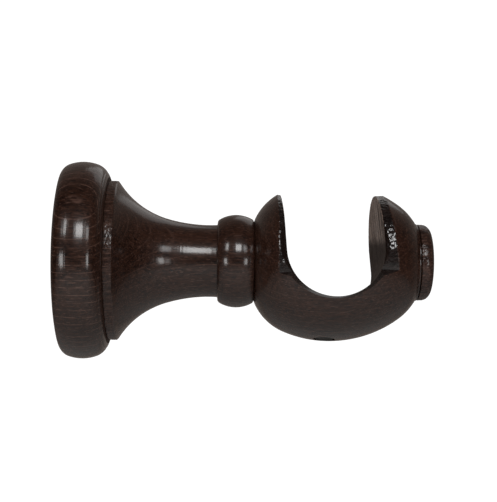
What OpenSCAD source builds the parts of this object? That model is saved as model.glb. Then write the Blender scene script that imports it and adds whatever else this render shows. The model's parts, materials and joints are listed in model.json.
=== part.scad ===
// Turned wooden curtain-pole bracket with an open U-shaped cup.
// +X runs from the wall to the nose on the turning axis, +Z is up and the cup opens upward,
// Y is the direction of the pole. The origin is the centre of the base's back face.

/* [Wall base] */
// Radius of the base's bead at its widest
base_r = 32.15; // [28:0.05:40]
// Thickness of the base from the wall to the seam with the arm
base_t = 15.4; // [12:0.1:20]
// Distance from the wall to the widest point of the bead
bead_x = 6.95; // [4:0.05:9]
// Radius of the bead's broad crest curve
bead_crest = 13.2; // [10:0.1:20]
// Half-width of that crest along the axis
bead_half = 4.45; // [3:0.05:6]
// Radius of the bead's shoulder curve at the wall
bead_turn = 3.9; // [3:0.1:8]
// Radius of the bead's shoulder curve toward the arm
bead_front = 5.9; // [4:0.1:8]
// Distance between the two wall screws
wall_screw_gap = 30; // [24:1:36]
// Radius of each wall-screw hole
wall_hole_r = 2.25; // [1.75:0.05:2.75]
// Radius of each countersink at the base's front face
wall_sink_r = 4.6; // [3.5:0.1:5.5]

/* [Arm] */
// Radius of the arm's foot, where it meets the base
foot_r = 26.05; // [22:0.05:30]
// Smallest radius of the stem
stem_r = 11.8; // [9:0.05:15]
// Distance from the wall to the thinnest point of the stem
stem_x = 48; // [44:0.5:52]
// Radius of the cove's long curve by the collar
cove_long = 48.8; // [40:0.1:60]
// Length of that long curve from the thinnest point back toward the foot
cove_half = 14.2; // [10:0.1:20]
// Radius of the cove's tighter curve by the foot
cove_turn = 27.8; // [20:0.1:30]
// Radius of the collar bead
collar_r = 15.2; // [13:0.1:18]
// Distance from the wall to the collar bead's crest
collar_x = 56.7; // [54:0.1:59]
// Radius of the collar's crest curve
collar_crest = 10.6; // [7:0.1:12]
// Half-width of that crest along the axis
collar_half = 5.35; // [4:0.05:6]
// Radius of the collar's shoulder curves
collar_turn = 1.65; // [1.5:0.05:4]
// Distance from the wall to the groove between the collar and the ball
groove_x = 62.5; // [60:0.1:65]
// Radius at the bottom of that groove
groove_r = 13.15; // [11:0.05:15]

/* [Ball and cup] */
// Largest radius of the ball
ball_r = 26.25; // [23:0.05:30]
// Radius of the ball's broad middle curve
ball_crest = 38.9; // [34:0.1:46]
// Half-length of the middle curve toward the nose
ball_half = 22.5; // [20:0.1:28]
// Radius of the ball's curve at the nose
ball_turn = 20; // [18:0.1:25]
// Half-length of the middle curve toward the collar
ball_back = 14.7; // [12:0.1:22]
// Distance from the wall to the ball's centre
ball_x = 87.15; // [84:0.05:90]
// Distance from the wall to the middle of the cup
cup_x = 88; // [85:0.1:90]
// Radius of the cup's round bottom, for a 28 mm pole with room around it
cup_r = 15.5; // [14.5:0.1:17]
// Half-length of the cup's plain wall along the pole, between its two flared mouths
cup_half = 19; // [14:0.5:20]
// Widening of the cup's mouths, sideways for each mm along the pole
mouth_slope = 0.8; // [0:0.05:1]
// How far the cup's opening leans toward the wall, in degrees
cup_lean = 4; // [0:0.5:8]
// Radius of the trimmed edge at the tip of the prong next to the wall
edge_back_r = 21.3; // [20:0.1:22.5]
// Radius of the trimmed edge of the prong next to the nose
edge_front_r = 20.4; // [19.5:0.1:22]
// How far that trimmed edge is centred above the turning axis
edge_lift = 1.4; // [0:0.1:3]

/* [Nose] */
// Radius of the nose button
nose_r = 12.5; // [10:0.05:16]
// Distance from the wall to the tip of the nose
nose_x = 120.3; // [115:0.1:125]
// Distance from the wall to the crease between the ball and the button
crease_x = 115.9; // [112:0.1:118]
// Rounding of the button's front edge
nose_round = 2.9; // [0.5:0.1:3.5]

/* [Fixings] */
// Radius of the hanger bolt's machine thread (M6)
bolt_r = 3; // [2.5:0.5:4]
// Radius of the hanger bolt's wood thread
bolt_wood_r = 3.2; // [2.8:0.1:4]
// Where the bolt starts behind the seam
bolt_start_x = 1.8; // [1:0.1:4]
// Where the bolt ends inside the arm
bolt_end_x = 45; // [36:1:50]
// Radius of the nut's flange
nut_flange_r = 9.5; // [7:0.5:11]
// Thickness of the nut's flange
nut_flange_t = 1.5; // [1:0.1:2]
// Outer radius of the nut's barrel
nut_barrel_r = 4; // [3.8:0.1:5]
// Length of the nut from its flange to the end of its barrel
nut_len = 10; // [8:0.5:12]
// Distance from the wall to the lock screw
lock_x = 85.4; // [83:0.1:90]
// Radius of the lock screw's shank
lock_r = 1.75; // [1.5:0.05:2.5]
// Radius of the lock screw's head
lock_head_r = 3; // [2.5:0.1:3.5]
// Thickness of the lock screw's head
lock_head_t = 2.2; // [1.5:0.1:3]
// Radius of the sunk hole under the cup
sink_r = 3.5; // [3:0.1:4.5]
// How far below the axis the sunk hole ends
sink_z = 19.5; // [18:0.1:23]

/* [Hidden] */
$fn = 96;
run = 0.05;            // radial running clearance of a shaft in its hole
big = 80;

// the curve from the ball's middle down to the groove, tangent to the middle curve
back_s = ball_back / ball_crest;
back_c = sqrt(1 - back_s * back_s);
back_dx = ball_x - ball_back - groove_x;
back_dr = ball_r - ball_crest + ball_crest * back_c - groove_r;
back_turn = (back_dx * back_dx + back_dr * back_dr) / (2 * (back_c * back_dr - back_s * back_dx));

wood = [0.20, 0.12, 0.085];
zinc = [0.70, 0.71, 0.70];
dark = [0.10, 0.09, 0.085];

// a 2D outline drawn as [radius, distance from the wall] turned about the X axis
module turned() {
    rotate([0, 90, 0])
        rotate_extrude()
            intersection() {
                translate([0, -10])
                    square([big, 150]);
                children();
            }
}

module disc_band(r, x0, x1) {
    translate([0, x0])
        square([r, x1 - x0]);
}

// a convex moulding: a crest arc with a tangent shoulder arc on each side
module bulge(cx, top, crest, half0, turn0, half1, turn1) {
    c0 = sqrt(1 - pow(half0 / crest, 2));
    c1 = sqrt(1 - pow(half1 / crest, 2));
    intersection() {
        translate([top - crest, cx])
            circle(r = crest);
        disc_band(big, cx - half0, cx + half1);
    }
    intersection() {
        translate([top - crest + (crest - turn0) * c0, cx - half0 + turn0 * half0 / crest])
            circle(r = turn0 - 0.02);
        disc_band(big, cx - 2 * crest, cx - half0);
    }
    intersection() {
        translate([top - crest + (crest - turn1) * c1, cx + half1 - turn1 * half1 / crest])
            circle(r = turn1 - 0.02);
        disc_band(big, cx + half1, cx + 2 * crest);
    }
}

module along_x(r, x0, x1) {
    translate([x0, 0, 0])
        rotate([0, 90, 0])
            cylinder(r = r, h = x1 - x0);
}

module base_outline() {
    disc_band(foot_r + 0.35, 0, base_t);
    intersection() {
        bulge(bead_x, base_r, bead_crest, bead_half, bead_turn, bead_half, bead_front);
        disc_band(big, 0, base_t);
    }
}

module nut_prong(a) {
    rotate([a, 0, 0])
        translate([nut_flange_t - 0.5, -1, nut_flange_r - 1.6])
            cube([6.5, 2, 1.2]);
}

module nut_solid() {
    along_x(nut_flange_r, 0, nut_flange_t);
    along_x(nut_barrel_r, 0, nut_len);
    for (a = [45, 135, 225, 315])
        nut_prong(a);
}

module wall_base() {
    sink_h = wall_sink_r - wall_hole_r + 0.2;
    color(wood)
        difference() {
            turned()
                base_outline();
            nut_solid();
            along_x(bolt_r + 1.2, nut_len - 1, base_t + 1);
            for (s = [-1, 1])
                translate([0, s * wall_screw_gap / 2, 0]) {
                    along_x(wall_hole_r, -1, base_t + 1);
                    translate([base_t - wall_sink_r + wall_hole_r, 0, 0])
                        rotate([0, 90, 0])
                            cylinder(r1 = wall_hole_r, r2 = wall_sink_r + 0.2, h = sink_h);
                }
        }
}

module tee_nut() {
    color(zinc)
        difference() {
            nut_solid();
            along_x(bolt_r + run, -1, nut_len + 1);
        }
}

module hanger_bolt() {
    color(zinc)
        union() {
            along_x(bolt_r - 0.5, bolt_start_x, bolt_start_x + 0.6);
            along_x(bolt_r, bolt_start_x + 0.5, base_t + 3);
            along_x(bolt_wood_r, base_t + 2.8, bolt_end_x - 3);
            translate([bolt_end_x - 3.05, 0, 0])
                rotate([0, 90, 0])
                    cylinder(r1 = bolt_wood_r, r2 = 0.6, h = 3.05);
        }
}

module ball_outline() {
    intersection() {
        bulge(ball_x, ball_r, ball_crest, ball_back, back_turn, ball_half, ball_turn);
        disc_band(big, groove_x, crease_x);
    }
    disc_band(groove_r - 1, groove_x, crease_x);
}

module nose_outline() {
    disc_band(nose_r, crease_x - 0.5, nose_x - nose_round);
    disc_band(nose_r - nose_round, crease_x - 0.5, nose_x);
    intersection() {
        translate([nose_r - nose_round, nose_x - nose_round])
            circle(r = nose_round);
        disc_band(big, crease_x, nose_x);
    }
}

module stem_outline() {
    c = sqrt(1 - pow(cove_half / cove_long, 2));
    turn_at = stem_x - cove_half + cove_turn * cove_half / cove_long;
    difference() {
        disc_band(foot_r, base_t, collar_x);
        intersection() {
            translate([stem_r + cove_long, stem_x])
                circle(r = cove_long);
            disc_band(big, stem_x - cove_half, collar_x + 1);
        }
        intersection() {
            translate([stem_r + cove_long - (cove_long - cove_turn) * c, turn_at])
                circle(r = cove_turn - 0.02);
            disc_band(big, base_t, stem_x - cove_half);
        }
    }
    intersection() {
        bulge(collar_x, collar_r, collar_crest, collar_half, collar_turn, collar_half, collar_turn);
        disc_band(big, collar_x - collar_crest, groove_x + 0.2);
    }
    disc_band(stem_r - 0.5, collar_x - collar_half, groove_x + 0.2);
}

module arm_outline() {
    stem_outline();
    ball_outline();
    nose_outline();
}

// the cup's plain U channel
module cup_channel() {
    translate([cup_x, 0, 0])
        rotate([90, -cup_lean, 0])
            linear_extrude(height = 2 * big, center = true)
                union() {
                    circle(r = cup_r);
                    translate([-cup_r, 0])
                        square([2 * cup_r, big]);
                }
}

// a mouth of the cup: the channel widens toward the ball's side
module cup_mouth(s) {
    m = 14;
    translate([cup_x, 0, 0])
        rotate([0, -cup_lean, 0])
            translate([0, s * cup_half, 0]) {
                rotate([-s * 90, 0, 0])
                    cylinder(r1 = cup_r, r2 = cup_r + m * mouth_slope, h = m);
                linear_extrude(height = 12)
                    polygon([
                        [-cup_r, 0],
                        [cup_r, 0],
                        [cup_r + m * mouth_slope, s * m],
                        [-cup_r - m * mouth_slope, s * m]
                    ]);
            }
}

// the trimmed edge that runs over a prong: everything outside a slender cone along the axis
module prong_edge(s) {
    r = s < 0 ? edge_back_r : edge_front_r;
    slope = s < 0 ? 0.26 : 0.07;
    translate([cup_x, 0, 0])
        mirror([s < 0 ? 1 : 0, 0, 0])
            translate([cup_r - 3, 0, 0])
                difference() {
                    rotate([90, 0, 90])
                        linear_extrude(height = 8)
                            polygon([[-40, 40], [-40, -30.2], [-18, -6], [18, -6], [40, -30.2], [40, 40]]);
                    translate([-0.01, 0, s < 0 ? 0 : edge_lift])
                        rotate([0, 90, 0])
                            cylinder(r1 = r - 3 * slope, r2 = r + 5 * slope, h = 8.02);
                }
}

module lock_screw() {
    head_z = -ball_r + 0.4;
    color(dark)
        difference() {
            union() {
                translate([lock_x, 0, head_z])
                    cylinder(r = lock_head_r, h = lock_head_t);
                translate([lock_x, 0, head_z + lock_head_t - 0.1])
                    cylinder(r = lock_r, h = 6.2);
                translate([lock_x, 0, head_z + lock_head_t + 6])
                    cylinder(r1 = lock_r, r2 = 0.3, h = 1.8);
            }
            translate([lock_x - 4, -0.4, head_z - 1])
                cube([8, 0.8, 2]);
        }
}

module arm() {
    color(wood)
        difference() {
            turned()
                arm_outline();
            cup_channel();
            cup_mouth(1);
            cup_mouth(-1);
            prong_edge(1);
            prong_edge(-1);
            along_x(bolt_wood_r + run, base_t - 1, bolt_end_x + 0.5);
            translate([lock_x, 0, -big / 2])
                cylinder(r = lock_r + run, h = big / 2);
            translate([lock_x, 0, -big / 2])
                cylinder(r = sink_r, h = big / 2 - sink_z);
        }
}

wall_base();
tee_nut();
hanger_bolt();
arm();
lock_screw();
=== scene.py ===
"""Looks for the turned wooden curtain-pole bracket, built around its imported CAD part.

The pieces are in millimetres in the CAD frame: +X from the wall to the nose on the turning axis, +Z
up with the cup opening upward, Y along the pole. MM turns them into metres. The floor, the lamps and
the world are in metres.
"""

import json
import math

import bmesh
import bpy
from mathutils import Matrix, Vector, noise


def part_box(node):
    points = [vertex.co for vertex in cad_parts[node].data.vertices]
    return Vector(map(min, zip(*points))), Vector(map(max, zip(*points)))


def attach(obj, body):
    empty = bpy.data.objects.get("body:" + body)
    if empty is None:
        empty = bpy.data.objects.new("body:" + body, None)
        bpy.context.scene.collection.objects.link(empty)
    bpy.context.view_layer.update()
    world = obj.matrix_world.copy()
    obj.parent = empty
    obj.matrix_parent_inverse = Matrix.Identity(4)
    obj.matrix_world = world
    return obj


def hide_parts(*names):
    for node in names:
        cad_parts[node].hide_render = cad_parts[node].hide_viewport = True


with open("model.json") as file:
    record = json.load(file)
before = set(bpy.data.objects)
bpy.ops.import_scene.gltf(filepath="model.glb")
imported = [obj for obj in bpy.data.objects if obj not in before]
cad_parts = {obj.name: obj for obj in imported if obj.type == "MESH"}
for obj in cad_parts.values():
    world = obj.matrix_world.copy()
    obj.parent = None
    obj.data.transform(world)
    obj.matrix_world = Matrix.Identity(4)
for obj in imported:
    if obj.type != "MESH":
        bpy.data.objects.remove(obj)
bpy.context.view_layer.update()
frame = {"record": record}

MM = 0.001
TAU = 2 * math.pi


def box_mm(node_name):
    """The lowest and highest corners of a CAD node, in millimetres."""
    lo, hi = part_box(node_name)
    return Vector(lo) / MM, Vector(hi) / MM


# ---------------------------------------------------------------- driving dimensions
base_hi = box_mm("wall_base")[1]
arm_lo, arm_hi = box_mm("arm")
nut_hi = box_mm("tee_nut")[1]
bolt_lo, bolt_hi = box_mm("hanger_bolt")
lock_lo, lock_hi = box_mm("lock_screw")

# the base: one bead, with a scored line in front of it and two wall-screw holes
BASE_R, BASE_T = base_hi.y, base_hi.x
BEAD_X, BEAD_CREST, BEAD_HALF, BEAD_TURN, BEAD_FRONT = 6.95, 13.2, 4.45, 3.9, 5.9
SCORE_X, SCORE_W, SCORE_DEPTH = 14.35, 0.5, 0.3
SCREW_GAP, SCREW_HOLE_R, SCREW_SINK_R = 30.0, 2.25, 4.6

# the arm, from the seam to the nose
SEAM_X, NOSE_X = arm_lo.x, arm_hi.x
FOOT_R, SEAM_STEP = 26.05, 0.35
STEM_R, STEM_X = 11.8, 48.0
COVE_LONG, COVE_HALF, COVE_TURN = 48.8, 14.2, 27.8
COLLAR_R, COLLAR_X, COLLAR_CREST, COLLAR_HALF, COLLAR_TURN = 15.2, 56.7, 10.6, 5.35, 1.65
GROOVE_X, GROOVE_R, GROOVE_FLOOR = 62.5, 13.15, 12.65
GROOVE_W, GROOVE_DEPTH = 0.7, 0.45
BALL_R, BALL_X = arm_hi.y, 87.15
BALL_CREST, BALL_HALF, BALL_TURN, BALL_BACK = 38.9, 22.5, 20.0, 14.7
CREASE_X, NOSE_R, NOSE_ROUND = 115.9, 12.5, 2.9

# the cup, and the cones that trim the prongs: radius at the cup's wall, slope away from it, and
# how far the front cone's axis is raised
cup = next(m for m in frame["record"]["mounts"] if m["name"] == "pole_cup")
CUP_X = cup["pos_m"][0] / MM
CUP_R = cup["dims"]["r_mm"]
CUP_HALF = cup["dims"]["length_mm"] / 2
CUP_LEAN = math.radians(4.0)  # how far the opening leans toward the wall
MOUTH_SLOPE, MOUTH_TOP, MOUTH_FADE = 0.8, 12.0, 3.0
EDGE_BACK_R, EDGE_BACK_SLOPE = 21.5, 0.13
EDGE_FRONT_R, EDGE_FRONT_SLOPE, EDGE_LIFT = 20.4, 0.07, 1.4

# the lock screw's hole, and the bolt's hole in the arm
LOCK_X = (lock_lo.x + lock_hi.x) / 2
SINK_R, SINK_Z, LOCK_HOLE_R = 3.5, 19.5, 1.8
PILOT_R, PILOT_END = 3.25, bolt_hi.x + 0.5

# the surface left by the tools
SKIN = 0.02  # the look's turned surface stays this far inside the CAD's
CHATTER = 0.012  # depth of the tool marks left by turning
TORN_FOOT, TORN_NOSE = 0.1, 0.085  # depth of the torn cuts on the foot's edge and the nose
FOOT_EDGE_W = 2.75  # width of the foot's flat edge

# worn corners and the crease, as (distance along X, loss of radius)
BASE_BACK_CORNER = ((0.0, 0.5), (0.12, 0.1))
BASE_FRONT_CORNER = ((-0.1, 0.14), (0.0, 0.5))
FOOT_CORNER = ((0.0, 0.45), (0.1, 0.12))
CREASE = ((0.0, 0.5), (0.05, 0.45))
NOSE_CORNER = (0.12, 0.35)


# ---------------------------------------------------------------- profiles
def bulge(x, top_x, top_r, crest, half0, turn0, half1, turn1):
    """Radius at x of a convex moulding: a crest arc with a tangent arc on each side."""
    if -half0 <= x - top_x <= half1:
        return top_r - crest + math.sqrt(crest**2 - (x - top_x) ** 2)
    side, half, turn = (-1, half0, turn0) if x < top_x else (1, half1, turn1)
    centre_x = top_x + side * (half - turn * half / crest)
    centre_r = top_r - crest + (crest - turn) * math.sqrt(1 - (half / crest) ** 2)
    reach = turn**2 - (x - centre_x) ** 2
    return centre_r + math.sqrt(reach) if reach > 0 else 0.0


def back_turn():
    """Radius of the arc from the ball's crest arc down to the groove."""
    s = BALL_BACK / BALL_CREST
    c = math.sqrt(1 - s * s)
    dx = BALL_X - BALL_BACK - GROOVE_X
    dr = BALL_R - BALL_CREST + BALL_CREST * c - GROOVE_R
    return (dx * dx + dr * dr) / (2 * (c * dr - s * dx))


BACK_TURN = back_turn()


def ball_radius(x):
    return bulge(x, BALL_X, BALL_R, BALL_CREST, BALL_BACK, BACK_TURN, BALL_HALF, BALL_TURN)


def base_radius(x):
    return bulge(x, BEAD_X, BASE_R, BEAD_CREST, BEAD_HALF, BEAD_TURN, BEAD_HALF, BEAD_FRONT)


def collar_radius(x):
    half, turn = COLLAR_HALF, COLLAR_TURN
    return bulge(x, COLLAR_X, COLLAR_R, COLLAR_CREST, half, turn, half, turn)


def stem_radius(x):
    """Radius of the stem's long cove, which turns up into the foot."""
    if x >= STEM_X - COVE_HALF:
        return STEM_R + COVE_LONG - math.sqrt(COVE_LONG**2 - (x - STEM_X) ** 2)
    c = math.sqrt(1 - (COVE_HALF / COVE_LONG) ** 2)
    centre_x = STEM_X - COVE_HALF + COVE_TURN * COVE_HALF / COVE_LONG
    centre_r = STEM_R + COVE_LONG - (COVE_LONG - COVE_TURN) * c
    reach = COVE_TURN**2 - (x - centre_x) ** 2
    return min(FOOT_R, centre_r - math.sqrt(reach)) if reach > 0 else FOOT_R


def arm_radius(x):
    """Radius of the arm between the seam and the crease, where one moulding runs into the next."""
    if x < COLLAR_X:
        return max(stem_radius(x), collar_radius(x))
    if x < GROOVE_X:
        return max(collar_radius(x), GROOVE_FLOOR)
    return max(ball_radius(x), collar_radius(x), GROOVE_FLOOR)


def groove(x, at, width, depth):
    """A small V-shaped cut with soft shoulders, as a loss of radius."""
    return depth * max(0.0, 1 - abs(x - at) / (width / 2)) ** 1.3


def steps(a, b, pitch):
    """Places from a up to b, both included, about pitch apart."""
    n = max(1, round((b - a) / pitch))
    return [a + (b - a) * i / n for i in range(n + 1)]


def tool_marks(x):
    """The faint uneven rings that a gouge leaves along the turning axis."""
    coarse = noise.noise(Vector((x * 1.9, 4.7, 0.0)))
    fine = noise.noise(Vector((x * 5.3, 9.1, 2.0)))
    return CHATTER * (coarse + 0.6 * fine)


def base_outline():
    """(x, radius) points of the base from the middle of its back to the middle of its front.

    The rings on the flat faces keep the triangles round the holes short.
    """
    rim = base_radius(0.0)
    shoulder = FOOT_R + SEAM_STEP
    points = [(0.0, 0.0), (0.0, 14.0), (0.0, 24.0)]
    points += [(x, rim - loss) for x, loss in BASE_BACK_CORNER]
    for x in steps(0.3, BASE_T - 0.25, 0.12):
        r = max(base_radius(x), shoulder) - groove(x, SCORE_X, SCORE_W, SCORE_DEPTH)
        points.append((x, r + tool_marks(x) - SKIN))
    points += [(BASE_T + x, shoulder - loss) for x, loss in BASE_FRONT_CORNER]
    return points + [(BASE_T, 20.0), (BASE_T, 12.0), (BASE_T, 0.0)]


def arm_outline():
    """(x, radius) points of the arm from the seam face to the nose, before the cup is cut."""
    points = [(SEAM_X, 0.0), (SEAM_X, 12.0)]
    points += [(SEAM_X + x, FOOT_R - loss) for x, loss in FOOT_CORNER]
    for x in steps(SEAM_X + 0.3, CREASE_X - 0.18, 0.2):
        r = arm_radius(x) - groove(x, GROOVE_X, GROOVE_W, GROOVE_DEPTH)
        points.append((x, r + tool_marks(x) - SKIN))
    points += [(CREASE_X + x, ball_radius(CREASE_X) - loss) for x, loss in CREASE]
    points.append((CREASE_X + NOSE_CORNER[0], NOSE_R - NOSE_CORNER[1]))
    for x in steps(CREASE_X + 0.35, NOSE_X - NOSE_ROUND, 0.22):
        points.append((x, NOSE_R - SKIN + tool_marks(x)))
    round_steps = 14
    for k in range(1, round_steps + 1):
        a = math.pi / 2 * k / round_steps
        x = NOSE_X - NOSE_ROUND + NOSE_ROUND * math.sin(a)
        points.append((x, NOSE_R - NOSE_ROUND + NOSE_ROUND * math.cos(a) - SKIN))
    points += [(NOSE_X - SKIN, r) for r in (7.0, 4.5, 2.0)]
    return points + [(NOSE_X - 0.05, 0.0)]


# ---------------------------------------------------------------- meshes
def make_object(name, verts, faces):
    """An object from points in metres and faces of their indices."""
    mesh = bpy.data.meshes.new(name)
    mesh.from_pydata([tuple(v) for v in verts], [], faces)
    mesh.validate()
    obj = bpy.data.objects.new(name, mesh)
    bpy.context.scene.collection.objects.link(obj)
    return obj


def outward(obj):
    """Turns every face's normal outward."""
    bm = bmesh.new()
    bm.from_mesh(obj.data)
    bmesh.ops.recalc_face_normals(bm, faces=bm.faces)
    bm.to_mesh(obj.data)
    bm.free()
    return obj


def smooth(obj, angle=38.0):
    """Smooth shading, with edges sharper than angle (in degrees) left crisp."""
    obj.data.shade_smooth()
    obj.data.set_sharp_from_angle(angle=math.radians(angle))


def turned(name, outline, segments, wobble=None):
    """A closed lathe mesh about X. wobble(x, radius, angle) adds to the radius.

    An outline that ends on its first point closes into a ring.
    """
    verts, faces, rings = [], [], []
    for x, r in outline:
        if rings and (x, r) == outline[0]:
            rings.append(rings[0])
            continue
        if r < 1e-6:
            rings.append([len(verts)] * segments)
            verts.append((x * MM, 0, 0))
            continue
        ring = []
        for k in range(segments):
            a = TAU * k / segments
            rr = r + (wobble(x, r, a) if wobble else 0.0)
            ring.append(len(verts))
            verts.append((x * MM, rr * math.sin(a) * MM, rr * math.cos(a) * MM))
        rings.append(ring)
    for low, high in zip(rings, rings[1:]):
        for k in range(segments):
            after = (k + 1) % segments
            quad = [low[k], high[k], high[after], low[after]]
            face = [v for i, v in enumerate(quad) if v not in quad[:i]]
            if len(face) > 2:
                faces.append(face)
    return outward(make_object(name, verts, faces))


def grid_tube(name, rows):
    """A closed solid from rows of points: each row is a closed loop, and the ends are capped."""
    verts = [Vector(p) * MM for row in rows for p in row]
    n = len(rows[0])
    faces = []
    for i in range(len(rows) - 1):
        for k in range(n):
            after = (k + 1) % n
            faces.append([i * n + k, (i + 1) * n + k, (i + 1) * n + after, i * n + after])
    faces.append(list(range(n)))
    faces.append([len(verts) - n + k for k in reversed(range(n))])
    return outward(make_object(name, verts, faces))


def bore(name, centre, axis, radii_at, segments):
    """A turned cutter along X or Z through centre; radii_at lists (place along it, radius)."""
    rows = []
    for along, r in radii_at:
        row = []
        for k in range(segments):
            a = TAU * k / segments
            u, v = r * math.cos(a), r * math.sin(a)
            offset = (along, u, v) if axis == "x" else (u, v, along)
            row.append(Vector(centre) + Vector(offset))
        rows.append(row)
    return grid_tube(name, rows)


def cut(obj, cutters):
    """Takes the cutters out of obj, one boolean each, and removes them."""
    for cutter in cutters:
        mod = obj.modifiers.new("cut", "BOOLEAN")
        mod.operation = "DIFFERENCE"
        mod.solver = "MANIFOLD"
        mod.object = cutter
        bpy.context.view_layer.update()
        evaluated = obj.evaluated_get(bpy.context.evaluated_depsgraph_get())
        mesh = bpy.data.meshes.new_from_object(evaluated)
        obj.modifiers.clear()
        old = obj.data
        obj.data = mesh
        bpy.data.meshes.remove(old)
        bpy.data.objects.remove(cutter)


def box_piece(name, lo, hi, turn=0.0):
    """A small box between two corners, turned about X by an angle."""
    verts = [
        Matrix.Rotation(turn, 3, "X") @ Vector((x, y, z)) * MM
        for x in (lo[0], hi[0])
        for y in (lo[1], hi[1])
        for z in (lo[2], hi[2])
    ]
    faces = [(0, 1, 3, 2), (4, 6, 7, 5), (0, 4, 5, 1), (2, 3, 7, 6), (0, 2, 6, 4), (1, 5, 7, 3)]
    return outward(make_object(name, verts, faces))


def join(name, parts):
    """Puts several meshes into one object."""
    verts, faces = [], []
    for part in parts:
        n = len(verts)
        verts += [v.co.copy() for v in part.data.vertices]
        faces += [[i + n for i in p.vertices] for p in part.data.polygons]
        bpy.data.objects.remove(part)
    return outward(make_object(name, verts, faces))


def rough(p, scale, depth):
    """A torn, chattered cut: noise at three sizes."""
    v = Vector(p) * scale
    return depth * (noise.noise(v) + 0.7 * noise.noise(v * 2.3) + 0.35 * noise.noise(v * 5.1))


# ---------------------------------------------------------------- the arm
def streak(y, z, seed):
    """Fine saw marks that run up the cup's walls."""
    p = Vector((y * 2.3, z * 0.12, seed))
    q = Vector((y * 6.1, z * 0.3, seed + 5))
    return 0.035 * noise.noise(p) + 0.03 * noise.noise(q)


def lean(p):
    """Turns a point with the cup's opening, about the pole's axis."""
    dx = p.x - CUP_X
    c, s = math.cos(CUP_LEAN), math.sin(CUP_LEAN)
    return Vector((CUP_X + dx * c - p.z * s, p.y, p.z * c + dx * s))


def cup_wall(y, side, heights, flare, seed):
    """Points on one wall of the cup at y. A point above MOUTH_TOP has less of the flare or none."""
    points = []
    for z in heights:
        fade = min(1.0, max(0.0, (MOUTH_TOP + MOUTH_FADE - z) / MOUTH_FADE))
        w = CUP_R + flare * fade + streak(y, z, seed)
        points.append(lean(Vector((CUP_X + side * w, y, z))))
    return points


def cup_cutter():
    """The U channel with its flared mouths, as loops across the pole's direction."""
    foot, shoulder, top = 0.5, 28.0, 40.0  # heights on the walls; top is clear of the ball
    front_seed, back_seed = 1.0, 8.0
    bow_steps = 60
    dip = 3  # how far down the marks' pattern still changes in the rounded bottom
    edge = BALL_R + 3
    ys = steps(-edge, -CUP_HALF, 0.3) + steps(-CUP_HALF + 0.25, CUP_HALF - 0.25, 0.25)
    ys += steps(CUP_HALF, edge, 0.3)
    rows = []
    for y in ys:
        flare = MOUTH_SLOPE * max(0.0, abs(y) - CUP_HALF)
        # the front wall is straight from foot to shoulder, so its marks run straight up and its
        # flare fades evenly between them; the back wall's marks wander
        loop = cup_wall(y, 1, (top, shoulder, foot), flare, front_seed)
        for k in range(bow_steps + 1):
            a = math.pi * k / bow_steps
            seed = front_seed if a < math.pi / 2 else back_seed
            w = CUP_R + flare + streak(y, -dip * math.sin(a), seed)
            loop.append(lean(Vector((CUP_X + w * math.cos(a), y, -w * math.sin(a)))))
        loop += cup_wall(y, -1, steps(foot, shoulder, 0.7) + [top], flare, back_seed)
        rows.append(loop)
    return grid_tube("cup_cutter", rows)


def edge_cutter(side):
    """The trimmed edge over one prong: everything outside a slender cone along the turning axis.

    side is -1 for the prong toward the wall and 1 for the one toward the nose. The trimmed edge ends
    below on a line that slants from (side_y, sill) to (reach, low).
    """
    r0, slope, lift = EDGE_BACK_R, EDGE_BACK_SLOPE, 0.0
    if side > 0:
        r0, slope, lift = EDGE_FRONT_R, EDGE_FRONT_SLOPE, EDGE_LIFT
    low, sill, side_y, reach = -30.2, -6.0, 18.0, 40.0
    slant = (low - sill) / (reach - side_y)
    b = sill - slant * side_y - lift
    h = 1 + slant * slant
    half_steps = 130
    rows = []
    for e in steps(-3.0, 5.0, 0.16):
        x = CUP_X + side * (CUP_R + e)
        r = r0 + slope * e
        # where the cone meets the slanting line
        y_end = (-slant * b + math.sqrt(slant * slant * b * b - h * (b * b - r * r))) / h
        a_end = math.atan2(y_end, slant * y_end + b)
        loop = []
        for k in range(2 * half_steps + 1):
            t = k / half_steps - 1
            a = a_end * t
            torn = rough((x, r * a, side * 7), 1.15, 0.16) * (1 - t**8)
            loop.append(Vector((x, (r + torn) * math.sin(a), lift + (r + torn) * math.cos(a))))
        for y, z in ((reach, low), (reach, reach), (0.0, reach), (-reach, reach), (-reach, low)):
            loop.append(Vector((x, y, z)))
        rows.append(loop)
    return grid_tube("edge_cutter", rows)


def lock_hole_cutter():
    """The sunk hole under the cup, with a rim that broke out toward the wall."""
    segments = 120
    chip_depth = 0.9  # how far up from the ball's surface the rim is broken
    rows = []
    for z in steps(-BALL_R - 2, -SINK_Z - 0.02, 0.22):
        depth = max(0.0, -z - (BALL_R - chip_depth))
        row = []
        for k in range(segments):
            a = TAU * k / segments
            toward = max(0.0, math.cos(a - math.pi)) ** 3
            uneven = noise.noise(Vector((4 * math.cos(a), 4 * math.sin(a), 3)))
            chip = max(0.0, toward * (0.45 + 0.5 * uneven)) * min(1.0, depth)
            r = SINK_R + chip + 0.03 * noise.noise(Vector((6 * a, z, 1)))
            row.append(Vector((LOCK_X + r * math.cos(a), r * math.sin(a), z)))
        rows.append(row)
    return grid_tube("lock_hole_cutter", rows)


def foot_line(x, a):
    """The wandering line where the foot's flat edge turns into the cove."""
    wander = noise.noise(Vector((0, 2.2 * math.sin(a) * 3, 2.2 * math.cos(a) * 3)))
    at = SEAM_X + FOOT_EDGE_W + 0.22 * wander
    return -0.14 * max(0.0, 1 - abs(x - at) / 0.3)


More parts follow.
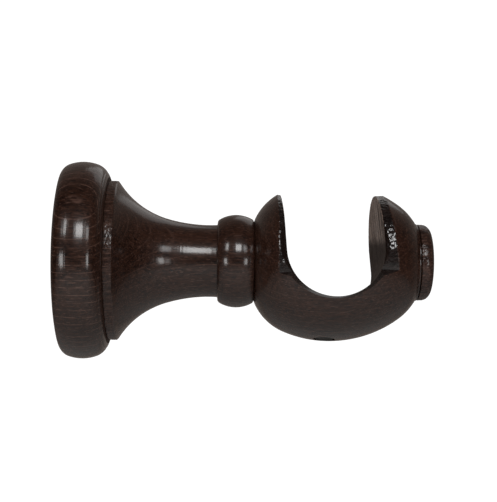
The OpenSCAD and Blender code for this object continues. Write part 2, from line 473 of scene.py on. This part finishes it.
def arm_wobble(x, r, a):
    """Change of radius: a soft unevenness, and the torn cuts by the foot and on the nose."""
    y, z = r * math.sin(a), r * math.cos(a)
    change = 0.035 * noise.noise(Vector((x * 0.11, y * 0.11, z * 0.11 + 3)))
    torn = 0.0
    if SEAM_X + 0.25 < x < SEAM_X + 2.6:
        torn = TORN_FOOT
    elif CREASE_X + 0.3 < x < NOSE_X - 0.3 and r > 6:
        torn = TORN_NOSE
    if torn:
        change += rough((x * 0.9, y, z), 1.5, torn) - 0.6 * torn
    return change + (foot_line(x, a) if x < SEAM_X + 4 else 0.0)


arm = turned("arm_turned", arm_outline(), 420, arm_wobble)
screw_hole = [(-22.0, LOCK_HOLE_R), (-10.0, LOCK_HOLE_R)]
pilot_hole = [(SEAM_X - 1, PILOT_R + 0.9), (SEAM_X + 0.6, PILOT_R), (PILOT_END, PILOT_R)]
cut(
    arm,
    [
        cup_cutter(),
        edge_cutter(-1),
        edge_cutter(1),
        lock_hole_cutter(),
        bore("screw_hole", (LOCK_X, 0, 0), "z", screw_hole, 64),
        bore("pilot_hole", (0, 0, 0), "x", pilot_hole, 72),
    ],
)
smooth(arm)


# ---------------------------------------------------------------- the base
NUT_LEN, NUT_BARREL_R, NUT_FLANGE_R = nut_hi.x, 4.0, 9.5
POCKET_FLANGE_T, POCKET_BARREL_R, BOLT_WAY_R = 1.5, 4.1, 4.2


def base_wobble(x, r, a):
    """Change of radius: the same soft unevenness as the arm's."""
    y, z = r * math.sin(a), r * math.cos(a)
    return 0.035 * noise.noise(Vector((x * 0.1, y * 0.1, z * 0.1 + 7)))


base = turned("base_turned", base_outline(), 420, base_wobble)
nut_pocket = [
    (-1.0, NUT_FLANGE_R + 0.15),
    (POCKET_FLANGE_T, NUT_FLANGE_R + 0.05),
    (POCKET_FLANGE_T + 0.02, POCKET_BARREL_R),
    (NUT_LEN, POCKET_BARREL_R),
    (NUT_LEN + 0.02, BOLT_WAY_R),
    (BASE_T + 1, BOLT_WAY_R),
]
wall_hole = [
    (-1.0, SCREW_HOLE_R + 0.5),
    (0.35, SCREW_HOLE_R),
    (BASE_T - SCREW_SINK_R + SCREW_HOLE_R, SCREW_HOLE_R),
    (BASE_T + 0.2, SCREW_SINK_R + 0.2),
]
holes = [bore("nut_pocket", (0, 0, 0), "x", nut_pocket, 96)]
holes += [bore("wall_hole", (0, s * SCREW_GAP / 2, 0), "x", wall_hole, 72) for s in (-1, 1)]
cut(base, holes)
smooth(base)


# ---------------------------------------------------------------- the hanger bolt
def thread_wobble(pitch, depth, start, end, fade, flat=0.18):
    """A right-handed helical thread cut below its crest, as a change of radius.

    It fades in and out over a length of fade; flat is the crest's share of the pitch.
    """

    def wobble(x, r, a):
        if not start <= x <= end:
            return 0.0
        phase = ((x / pitch) - a / TAU) % 1.0
        ridge = max(0.0, abs(2 * phase - 1) - flat) / (1 - flat)
        strength = min(1.0, (x - start) / fade, (end - x) / fade)
        return -depth * (1 - ridge) * max(0.0, strength)

    return wobble


BOLT_R, BOLT_WOOD_R = 3.0, bolt_hi.y
M6_PITCH, WOOD_PITCH = 1.0, 2.2
WOOD_START = BASE_T + 2.9
BOLT_TIP = 3.0  # length of the taper at the wood thread's end
machine_thread = thread_wobble(M6_PITCH, 0.52, bolt_lo.x + 0.2, WOOD_START - 1.6, 0.5)
wood_thread = thread_wobble(WOOD_PITCH, 0.85, WOOD_START + 0.6, bolt_hi.x - 0.3, 0.9, flat=0.55)


def bolt_outline():
    """(x, radius) points of the bolt: bevelled end, M6 shank, wood shank and tapered tip."""
    start, end = bolt_lo.x, bolt_hi.x
    taper = BOLT_TIP + 0.1
    points = [(start, 0.0), (start, 1.6), (start + 0.02, 2.3)]
    for x in steps(start + 0.1, WOOD_START - 0.2, 0.09):
        points.append((x, BOLT_R - max(0.0, 0.6 - (x - start)) - 0.01))
    for x in steps(WOOD_START + 0.05, end - taper, 0.16):
        points.append((x, BOLT_WOOD_R - 0.01))
    for x in steps(end - BOLT_TIP, end - 0.05, 0.16):
        points.append((x, 0.25 + (BOLT_WOOD_R - 0.25) * (end - x) / taper))
    return points + [(end, 0.0)]


def bolt_threads(x, r, a):
    """Both threads; the wood thread dies out toward the point."""
    return machine_thread(x, r, a) + wood_thread(x, r, a) * min(1.0, max(0.0, r - 0.6) / 2.2)


bolt = turned("hanger_bolt_threaded", bolt_outline(), 72, bolt_threads)
smooth(bolt, 50)


# ---------------------------------------------------------------- the tee nut
NUT_BORE_R = 3.04
NUT_PRONGS = [math.radians(45 + 90 * k) for k in range(4)]
nut_thread = thread_wobble(M6_PITCH, 0.42, 0.9, NUT_LEN - 0.4, 0.5)


def nut_outline():
    """(x, radius) points round the nut's section: flange, barrel and bore."""
    start = (0.35, 3.55)
    points = [start, (0.06, 3.9), (0.0, 4.6), (0.0, 8.9), (0.12, 9.3)]
    points += [(0.5, NUT_FLANGE_R - 0.02), (0.95, NUT_FLANGE_R - 0.04)]
    points += [(1.3, 9.2), (1.42, 8.8), (1.42, 5.2), (1.6, 4.4), (2.1, NUT_BARREL_R - 0.02)]
    points += [(NUT_LEN - 0.3, NUT_BARREL_R - 0.03), (NUT_LEN, NUT_BARREL_R - 0.3)]
    points += [(NUT_LEN, 3.3), (NUT_LEN - 0.25, 3.05)]
    points += [(x, NUT_BORE_R) for x in reversed(steps(0.8, NUT_LEN - 0.5, 0.09))]
    return points + [start]


def prong(turn):
    """One pointed prong, bent in from the flange. Its sections run from the root to the point."""
    rot = Matrix.Rotation(-turn, 3, "X")
    inner, outer = 7.95, 9.05
    verts = []
    for x, half in ((0.35, 0.98), (1.2, 0.98), (5.2, 0.8), (7.45, 0.12)):
        for z in (inner, outer):
            for y in (-half, half):
                bend = 0.0 if x > 1 else 0.35
                verts.append(rot @ Vector((x, y, min(z + bend, outer + 0.05))) * MM)
    faces = [(0, 1, 3, 2)]
    for i in range(3):
        a, b = 4 * i, 4 * (i + 1)
        for p, q in ((0, 1), (1, 3), (3, 2), (2, 0)):
            faces.append((a + p, a + q, b + q, b + p))
    faces.append((12, 14, 15, 13))
    return outward(make_object("prong", verts, faces))


nut_ring = turned(
    "tee_nut_pressed",
    nut_outline(),
    96,
    lambda x, r, a: -nut_thread(x, r, a) if r < NUT_BORE_R + 0.02 else 0.0,
)
cut(nut_ring, [box_piece("notch", (-1, -1.25, 7.6), (3, 1.25, 12), -turn) for turn in NUT_PRONGS])
nut = join("tee_nut_pressed", [nut_ring] + [prong(turn) for turn in NUT_PRONGS])
smooth(nut, 35)


# ---------------------------------------------------------------- the lock screw
HEAD_R, HEAD_T, HEAD_ROUND, SHANK_R = 3.0, 2.2, 0.45, 1.75
SLOT_W, SLOT_DEPTH = 0.8, 1.0
LOCK_TIP = 1.8  # length of the screw's point
head_z, tip_z = lock_lo.z, lock_hi.z
lock_thread = thread_wobble(0.8, 0.36, head_z + HEAD_T + 0.2, tip_z - 0.2, 0.3)


def lock_outline():
    """(height, radius) points of the screw, from the middle of its head up to its point."""
    neck = head_z + HEAD_T
    points = [(head_z, 0.0), (head_z, 1.5), (head_z, HEAD_R - HEAD_ROUND)]
    round_steps = 6
    for k in range(1, round_steps + 1):
        a = math.pi / 2 * k / round_steps
        r = HEAD_R - HEAD_ROUND - 0.01 + HEAD_ROUND * math.sin(a)
        points.append((head_z + HEAD_ROUND * (1 - math.cos(a)), r))
    points += [(neck - 0.2, HEAD_R - 0.01), (neck, HEAD_R - 0.2), (neck, SHANK_R - 0.01)]
    points += [(z, SHANK_R - 0.01) for z in steps(neck + 0.1, tip_z - LOCK_TIP, 0.08)]
    for z in steps(tip_z - LOCK_TIP + 0.08, tip_z - 0.05, 0.08):
        points.append((z, 0.12 + (SHANK_R - 0.13) * (tip_z - z) / LOCK_TIP))
    return points + [(tip_z, 0.0)]


lock = turned(
    "lock_screw_slotted",
    lock_outline(),
    72,
    lambda z, r, a: lock_thread(z, r, a) * min(1.0, r / SHANK_R),
)
stand = Matrix.Rotation(-math.pi / 2, 4, "Y")
lock.data.transform(Matrix.Translation((LOCK_X * MM, 0, 0)) @ stand)
outward(lock)
slot_lo = (LOCK_X - 4, -SLOT_W / 2, head_z - 1)
slot_hi = (LOCK_X + 4, SLOT_W / 2, head_z + SLOT_DEPTH)
cut(lock, [box_piece("slot", slot_lo, slot_hi)])
smooth(lock, 40)


# ---------------------------------------------------------------- shader nodes
def feed(tree, socket, value):
    """Links a socket into another one, or sets a plain value on it."""
    if isinstance(value, bpy.types.NodeSocket):
        tree.links.new(value, socket)
    else:
        socket.default_value = value


def node(tree, kind, inputs=None, **props):
    """A new node with its inputs fed and its properties set."""
    n = tree.nodes.new(kind)
    for key, value in props.items():
        setattr(n, key, value)
    for key, value in (inputs or {}).items():
        feed(tree, n.inputs[key], value)
    return n


def ramp(tree, fac, stops):
    """A colour ramp from (position, value or colour) stops."""
    n = node(tree, "ShaderNodeValToRGB", {"Fac": fac})
    elements = n.color_ramp.elements
    while len(elements) < len(stops):
        elements.new(0.5)
    for e, (pos, value) in zip(elements, stops):
        e.position = pos
        e.color = (*value, 1.0) if isinstance(value, tuple) else (value, value, value, 1.0)
    return n.outputs["Color"]


def times(tree, a, b):
    return node(tree, "ShaderNodeMath", {0: a, 1: b}, operation="MULTIPLY").outputs[0]


def plus(tree, a, b):
    return node(tree, "ShaderNodeMath", {0: a, 1: b}, operation="ADD").outputs[0]


def minus(tree, a, b):
    return node(tree, "ShaderNodeMath", {0: a, 1: b}, operation="SUBTRACT").outputs[0]


def mix(tree, fac, a, b):
    """Colour a where fac is 0 and colour b where it is 1."""
    n = tree.nodes.new("ShaderNodeMix")
    n.data_type = "RGBA"
    feed(tree, n.inputs[0], fac)
    for index, colour in ((6, a), (7, b)):
        feed(tree, n.inputs[index], (*colour, 1.0) if isinstance(colour, tuple) else colour)
    return n.outputs[2]


def stretched(tree, coords, scale, detail=4.0, roughness=0.55, distortion=0.0):
    """Noise with its own scale along each axis, in cycles per millimetre."""
    place = node(tree, "ShaderNodeMapping", {"Vector": coords, "Scale": [s / MM for s in scale]})
    settings = {
        "Vector": place.outputs[0],
        "Scale": 1.0,
        "Detail": detail,
        "Roughness": roughness,
        "Distortion": distortion,
    }
    return node(tree, "ShaderNodeTexNoise", settings).outputs["Fac"]


def scaled(colour, factor, lift=0.0):
    """A colour made darker or lighter."""
    return tuple(c * factor + lift for c in colour)


# ---------------------------------------------------------------- materials
HEART_Y, HEART_Z = -42.0, 16.4  # the tree's heart, outside the turned piece
RING_GAP = 2.4


def growth_rings(tree, coords):
    """The dark late wood and the pale early wood of the rings round the tree's heart."""
    bend = stretched(tree, coords, (0.012, 0.035, 0.035), 2.0)
    across = {
        "Vector": coords,
        "Location": (0.0, -HEART_Y, -HEART_Z),
        "Scale": (0.0, 1 / MM, 1 / MM),
    }
    moved = node(tree, "ShaderNodeMapping", across).outputs[0]
    distance = node(tree, "ShaderNodeVectorMath", {0: moved}, operation="LENGTH").outputs["Value"]
    wandering = plus(tree, distance, times(tree, bend, 3.0))
    turns = node(tree, "ShaderNodeMath", {0: wandering, 1: RING_GAP}, operation="DIVIDE").outputs[0]
    ring = node(tree, "ShaderNodeMath", {0: turns}, operation="FRACT").outputs[0]
    late_stops = [(0.0, 0.3), (0.12, 0.0), (0.55, 0.0), (0.90, 0.7), (0.97, 1.0), (1.0, 0.3)]
    early_stops = [(0.0, 0.0), (0.035, 1.0), (0.09, 0.8), (0.16, 0.0)]
    return ramp(tree, ring, late_stops), ramp(tree, ring, early_stops)


def torn_cut(tree, coords, body, height, grit, dark, pale):
    """Dark hollows and pale dust of a rough cut, and its relief."""
    torn = stretched(tree, coords, (1.9, 2.6, 2.6), 6.0, 0.75, 0.6)
    height = plus(tree, height, times(tree, torn, grit))
    hollows = ramp(tree, torn, [(0.34, 1.0), (0.52, 0.0)])
    body = mix(tree, times(tree, hollows, 0.65), body, scaled(dark, 0.45))
    dust = ramp(tree, torn, [(0.60, 0.0), (0.72, 0.45)])
    return mix(tree, dust, body, pale), height


def saw_marks_and_painted_shade(tree, coords, body, height, streaks, dark, lighter):
    """Streaks up the cup's walls, with painted shade over their lower part, and shine on the bare
    streaks.

    The painted shade darkens the walls below a height as the camera sees it. It stands in for the
    shade that the prong toward the wall throws into the cup. The coat's shine is kept above it.
    """
    lines = stretched(tree, coords, (0.62, 0.62, 0.10), 5.0, 0.7)
    height = plus(tree, height, times(tree, lines, streaks))
    body = mix(tree, ramp(tree, lines, [(0.38, 0.85), (0.50, 0.0)]), body, dark)
    body = mix(tree, ramp(tree, lines, [(0.54, 0.0), (0.68, 0.8)]), body, lighter)
    # painted shade: below a height as the camera sees it, the walls are mixed toward dark
    place = node(tree, "ShaderNodeSeparateXYZ", {0: coords}).outputs
    level = minus(tree, times(tree, place[2], 0.97), times(tree, place[1], 0.24))
    level = plus(tree, level, times(tree, lines, 6.0 * MM))
    edge = {
        "Value": level,
        "From Min": 8.5 * MM,
        "From Max": 11.5 * MM,
        "To Min": 0.88,
        "To Max": 0.0,
    }
    painted_shade = node(tree, "ShaderNodeMapRange", edge).outputs[0]
    worn = ramp(tree, lines, [(0.42, 0.15), (0.56, 1.0)])
    shine = times(tree, minus(tree, 1.0, painted_shade), worn)
    return mix(tree, painted_shade, body, dark), height, shine


def wood(name, tone, dark, roughness, coat, coat_roughness, grit=0.0, streaks=0.0, rings=0.45):
    """Dark stained, lacquered hardwood with its fibres along X.

    grit is the relief of a torn cut, streaks that of the cup's saw marks, whose shine replaces the
    even coat and which also bring painted shade over the cup's lower walls, and rings how much the
    pale growth rings stand out.
    """
    mat = bpy.data.materials.new(name)
    mat.use_nodes = True
    tree = mat.node_tree
    tree.nodes.clear()
    out = node(tree, "ShaderNodeOutputMaterial")
    shader = node(tree, "ShaderNodeBsdfPrincipled")
    tree.links.new(shader.outputs[0], out.inputs["Surface"])
    coords = node(tree, "ShaderNodeTexCoord").outputs["Object"]
    lighter = scaled(tone, 1.9, 0.005)
    pale = scaled(tone, 2.6, 0.022)

    late, early = growth_rings(tree, coords)
    fibre = stretched(tree, coords, (0.13, 0.95, 0.95), 6.0, 0.68)
    fine = stretched(tree, coords, (0.34, 2.0, 2.0), 4.0, 0.65)
    pore_noise = stretched(tree, coords, (0.42, 2.5, 2.5), 1.0, 0.4)
    pores = ramp(tree, pore_noise, [(0.60, 0.0), (0.66, 1.0)])
    dash_noise = stretched(tree, coords, (0.40, 2.9, 2.9), 0.0)
    dashes = ramp(tree, dash_noise, [(0.68, 0.0), (0.73, 1.0)])
    cloud = stretched(tree, coords, (0.035, 0.07, 0.07), 3.0)
    broken = ramp(tree, stretched(tree, coords, (0.25, 0.6, 0.6), 3.0), [(0.38, 0.0), (0.56, 0.8)])

    body = mix(tree, ramp(tree, fibre, [(0.40, 0.0), (0.60, 1.0)]), dark, tone)
    body = mix(tree, times(tree, late, 0.38), body, dark)
    body = mix(tree, ramp(tree, cloud, [(0.42, 0.0), (0.75, 0.42)]), body, lighter)
    body = mix(tree, ramp(tree, fine, [(0.52, 0.0), (0.66, 0.75)]), body, lighter)
    body = mix(tree, times(tree, pores, 0.75), body, scaled(dark, 0.35))
    body = mix(tree, times(tree, times(tree, early, rings), broken), body, pale)
    body = mix(tree, times(tree, dashes, 0.55), body, pale)

    tool_rings = stretched(tree, coords, (4.6, 0.05, 0.05), 3.0, 0.6)
    orange_peel = stretched(tree, coords, (0.55, 0.55, 0.55), 2.0)
    height = minus(tree, times(tree, fine, 0.16), times(tree, pores, 0.5))
    height = minus(tree, height, times(tree, late, 0.08))
    height = plus(tree, height, times(tree, tool_rings, 0.22))
    height = plus(tree, height, times(tree, orange_peel, 0.9))

    if grit:
        body, height = torn_cut(tree, coords, body, height, grit, dark, pale)
    if streaks:
        body, height, coat = saw_marks_and_painted_shade(tree, coords, body, height, streaks, dark, lighter)

    patchy = stretched(tree, coords, (0.22, 0.7, 0.7), 5.0)
    dull = ramp(tree, patchy, [(0.3, roughness - 0.07), (0.75, roughness + 0.13)])
    bump = node(tree, "ShaderNodeBump", {"Height": height, "Strength": 0.6, "Distance": 0.06 * MM})
    settings = {
        "Base Color": body,
        "Roughness": dull,
        "Normal": bump.outputs[0],
        "IOR": 1.5,
        "Specular IOR Level": 0.10,
        "Coat Weight": coat,
        "Coat Roughness": coat_roughness,
        "Coat IOR": 1.5,
    }
    for key, value in settings.items():
        feed(tree, shader.inputs[key], value)
    return mat


def metal(name, colour, roughness, relief, metallic):
    """Plated or painted steel with faint blotches and scratches."""
    mat = bpy.data.materials.new(name)
    mat.use_nodes = True
    tree = mat.node_tree
    shader = tree.nodes["Principled BSDF"]
    coords = node(tree, "ShaderNodeTexCoord").outputs["Object"]
    blotch = stretched(tree, coords, (0.35, 0.35, 0.35), 5.0)
    scratch = stretched(tree, coords, (0.6, 3.0, 3.0), 4.0, 0.7)
    darker = scaled(colour, 0.6)
    tint = mix(tree, ramp(tree, blotch, [(0.35, 0.0), (0.7, 1.0)]), darker, colour)
    tint = mix(tree, ramp(tree, scratch, [(0.58, 0.0), (0.75, 0.5)]), tint, darker)
    uneven = {"Height": plus(tree, blotch, scratch), "Strength": relief, "Distance": 0.03 * MM}
    bump = node(tree, "ShaderNodeBump", uneven)
    settings = {
        "Base Color": tint,
        "Roughness": ramp(tree, blotch, [(0.3, roughness + 0.12), (0.7, roughness - 0.08)]),
        "Metallic": metallic,
        "Normal": bump.outputs[0],
    }
    for key, value in settings.items():
        feed(tree, shader.inputs[key], value)
    return mat


TONE, DARK = (0.0275, 0.0105, 0.0058), (0.0098, 0.0031, 0.0016)
TORN_TONE, FLAT_TONE = (0.047, 0.022, 0.015), (0.046, 0.022, 0.014)
# CUP_DARK is the dark of the cup's saw streaks and also the painted shade on its lower walls
CUP_TONE, CUP_DARK = (0.230, 0.150, 0.115), (0.030, 0.019, 0.016)
EDGE_TONE, EDGE_DARK = (0.0085, 0.0034, 0.0024), (0.0035, 0.0014, 0.0009)
# the last three plain numbers are the roughness, the coat and the coat's roughness
polished = wood("stained_wood", TONE, DARK, 0.45, 0.85, 0.16)
base_wood = wood("stained_wood_base", TONE, DARK, 0.45, 0.85, 0.16, rings=1.3)
torn_wood = wood("stained_wood_torn", TORN_TONE, DARK, 0.40, 0.55, 0.18, grit=4.2)
cup_wood = wood("stained_wood_cup", CUP_TONE, CUP_DARK, 0.6, 1.0, 0.24, streaks=2.4)
edge_wood = wood("stained_wood_edge", EDGE_TONE, EDGE_DARK, 0.40, 1.0, 0.13, grit=6.0)
flat_wood = wood("stained_wood_flat", FLAT_TONE, DARK, 0.6, 0.1, 0.35, grit=0.8)
zinc = metal("zinc_steel", (0.62, 0.63, 0.62), roughness=0.3, relief=0.3, metallic=1.0)
dark_screw = metal("dark_screw", (0.010, 0.009, 0.008), roughness=0.6, relief=0.4, metallic=0.2)


def paint(obj, mats, choose=lambda centre: 0):
    """Gives obj its materials; choose(a face's centre, in mm) gives the index of the face's one."""
    obj.data.materials.clear()
    for m in mats:
        obj.data.materials.append(m)
    for p in obj.data.polygons:
        p.material_index = choose(p.center / MM)


POLISHED, TORN, CUP_WALL, PLAIN_CUT, TRIMMED = range(5)  # the arm's surfaces


def arm_surface(c):
    """Which of its surfaces the arm has at a face's centre."""
    r = math.hypot(c.y, c.z)
    if c.x < SEAM_X + 0.05 or (r < PILOT_R + 0.6 and c.x < PILOT_END + 1):
        return PLAIN_CUT
    if c.x < SEAM_X + FOOT_EDGE_W or c.x > CREASE_X + 0.1:
        return TORN
    near_cup = abs(c.x - CUP_X) < CUP_R + 7
    if not near_cup or ball_radius(c.x) - r <= 0.13:
        return POLISHED
    if math.hypot(c.x - LOCK_X, c.y) < SINK_R + 0.9 and c.z < -CUP_R + 0.2:
        return PLAIN_CUT
    u = c.x - CUP_X + c.z * math.sin(CUP_LEAN)
    past_wall = math.hypot(u, min(0.0, c.z - u * math.sin(CUP_LEAN))) - CUP_R
    return CUP_WALL if past_wall < 0.12 and abs(c.y) < CUP_HALF + 0.1 else TRIMMED


def base_surface(c):
    """0 on the base's turned side, 1 on its flat faces and in its holes."""
    inside = c.x < 0.02 or c.x > BASE_T - 0.2 or math.hypot(c.y, c.z) < 24
    return 1 if inside else 0


paint(arm, [polished, torn_wood, cup_wood, flat_wood, edge_wood], arm_surface)
paint(base, [base_wood, flat_wood], base_surface)
paint(bolt, [zinc])
paint(nut, [zinc])
paint(lock, [dark_screw])

for piece, node_name, body, slot in (
    (base, "wall_base", "base", "stained_wood"),
    (nut, "tee_nut", "base", "zinc_steel"),
    (bolt, "hanger_bolt", "stud", "zinc_steel"),
    (arm, "arm", "arm", "stained_wood"),
    (lock, "lock_screw", "pole_lock", "dark_screw"),
):
    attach(piece, body)
    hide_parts(node_name)


# ---------------------------------------------------------------- floor and lamps
VIEW_LEAN = math.radians(14.0)  # how far the cup's opening leans away from the camera
CENTRE = Vector((0.060, 0.0, 0.0))
FLOOR_SIZE, FLOOR_Z = 3.0, -0.45
LAMP_DISTANCE = 0.9
PANEL_SIZE, PANEL_ABOVE, PANEL_RADIANCE = 2.8, 0.2, 0.13


def from_view(v):
    """A direction or place seen upright by the camera, turned back into the CAD frame."""
    x, y, z = v
    c, s = math.cos(VIEW_LEAN), math.sin(VIEW_LEAN)
    return Vector((x, y * c - z * s, y * s + z * c))


def add_light(name, shape, width, height, radiance):
    """An area light of a size in metres, with its power worked out from its radiance."""
    data = bpy.data.lights.new(name, "AREA")
    data.shape = shape
    data.size, data.size_y = width, height
    data.energy = radiance * math.pi * width * height
    obj = bpy.data.objects.new(name, data)
    bpy.context.scene.collection.objects.link(obj)
    return obj


def lamp(name, azimuth, elevation, width, height, radiance):
    """A soft lamp. Angles are in degrees as the camera sees them, azimuth toward +X."""
    a, e = math.radians(azimuth), math.radians(elevation)
    toward = from_view((math.sin(a) * math.cos(e), -math.cos(a) * math.cos(e), math.sin(e)))
    sides = [2 * LAMP_DISTANCE * math.tan(math.radians(angle / 2)) for angle in (width, height)]
    obj = add_light(name, "RECTANGLE", *sides, radiance)
    obj.location = CENTRE + toward * LAMP_DISTANCE
    obj.rotation_euler = toward.to_track_quat("Z", "Y").to_euler()


bpy.ops.mesh.primitive_plane_add(size=FLOOR_SIZE, location=(CENTRE.x, 0, FLOOR_Z))
floor = bpy.context.object
floor.name = "floor"
pale_floor = bpy.data.materials.new("pale_floor")
pale_floor.use_nodes = True
floor_shader = pale_floor.node_tree.nodes["Principled BSDF"]
floor_shader.inputs["Base Color"].default_value = (0.86, 0.86, 0.85, 1)
floor_shader.inputs["Roughness"].default_value = 0.9
floor.data.materials.append(pale_floor)

# azimuth, elevation, width and height in degrees, then the radiance
lamp("lamp_main", 8, 34, 20, 16, 12.5)
lamp("lamp_left_high", -37, 34, 9, 16, 9)
lamp("lamp_left_low", -37, 0, 8, 13, 9)
lamp("lamp_right_high", 33, 30, 8, 14, 6)
lamp("lamp_right_low", 33, 0, 8, 13, 8)
lamp("lamp_behind", 160, 40, 30, 30, 0.5)

# a wide soft panel over the floor and under the part keeps the floor pale
panel = add_light("lamp_floor", "SQUARE", PANEL_SIZE, PANEL_SIZE, PANEL_RADIANCE)
panel.location = (CENTRE.x, 0.0, FLOOR_Z + PANEL_ABOVE)


# ---------------------------------------------------------------- world
world = bpy.data.worlds.new("world")
bpy.context.scene.world = world
world.use_nodes = True
sky = world.node_tree
sky.nodes.clear()
direction = node(sky, "ShaderNodeTexCoord").outputs["Generated"]
away = {0: direction, 1: tuple(from_view((0.0, 1.0, 0.0)))}
behind = node(sky, "ShaderNodeVectorMath", away, operation="DOT_PRODUCT").outputs["Value"]
# a soft warm glow from behind the part, and none from the camera's side
glow_stops = [
    (0.0, 0.004),
    (0.46, 0.008),
    (0.72, (0.120, 0.104, 0.094)),
    (1.0, (0.215, 0.186, 0.168)),
]
glow = ramp(sky, times(sky, plus(sky, behind, 1.0), 0.5), glow_stops)
light = node(sky, "ShaderNodeBackground", {"Color": glow, "Strength": 1.0})
paper = node(sky, "ShaderNodeBackground", {"Color": (1, 1, 1, 1), "Strength": 1.1})
seen = node(sky, "ShaderNodeLightPath").outputs["Is Camera Ray"]
both = node(sky, "ShaderNodeMixShader", {0: seen, 1: light.outputs[0], 2: paper.outputs[0]})
world_out = node(sky, "ShaderNodeOutputWorld")
sky.links.new(both.outputs[0], world_out.inputs["Surface"])


# ---------------------------------------------------------------- camera
SENSOR = 36.0
FOCAL = 2.3743  # focal length as a multiple of the picture's width
DISTANCE, SIDEWAYS, RAISED = 386.5, 60.77, 3.376  # the camera's place, as the camera sees it
YAW, ROLL = math.radians(1.2), math.radians(-0.447)

right = Vector((math.cos(YAW), -math.sin(YAW), 0))
forward = Vector((math.sin(YAW), math.cos(YAW), 0))
up = Vector((0, 0, 1))
place = (right * SIDEWAYS - forward * DISTANCE + up * RAISED) * MM
across = right * math.cos(ROLL) - up * math.sin(ROLL)
upright = right * math.sin(ROLL) + up * math.cos(ROLL)
columns = [from_view(v) for v in (across, upright, -forward)]

camera_data = bpy.data.cameras.new("camera")
camera_data.sensor_fit = "HORIZONTAL"
camera_data.sensor_width = SENSOR
camera_data.lens = SENSOR * FOCAL
camera_data.clip_start = 0.01
camera = bpy.data.objects.new("camera", camera_data)
camera.matrix_world = Matrix.Translation(from_view(place)) @ Matrix(columns).transposed().to_4x4()
bpy.context.scene.collection.objects.link(camera)
bpy.context.scene.camera = camera
bpy.context.scene.view_settings.view_transform = "Standard"
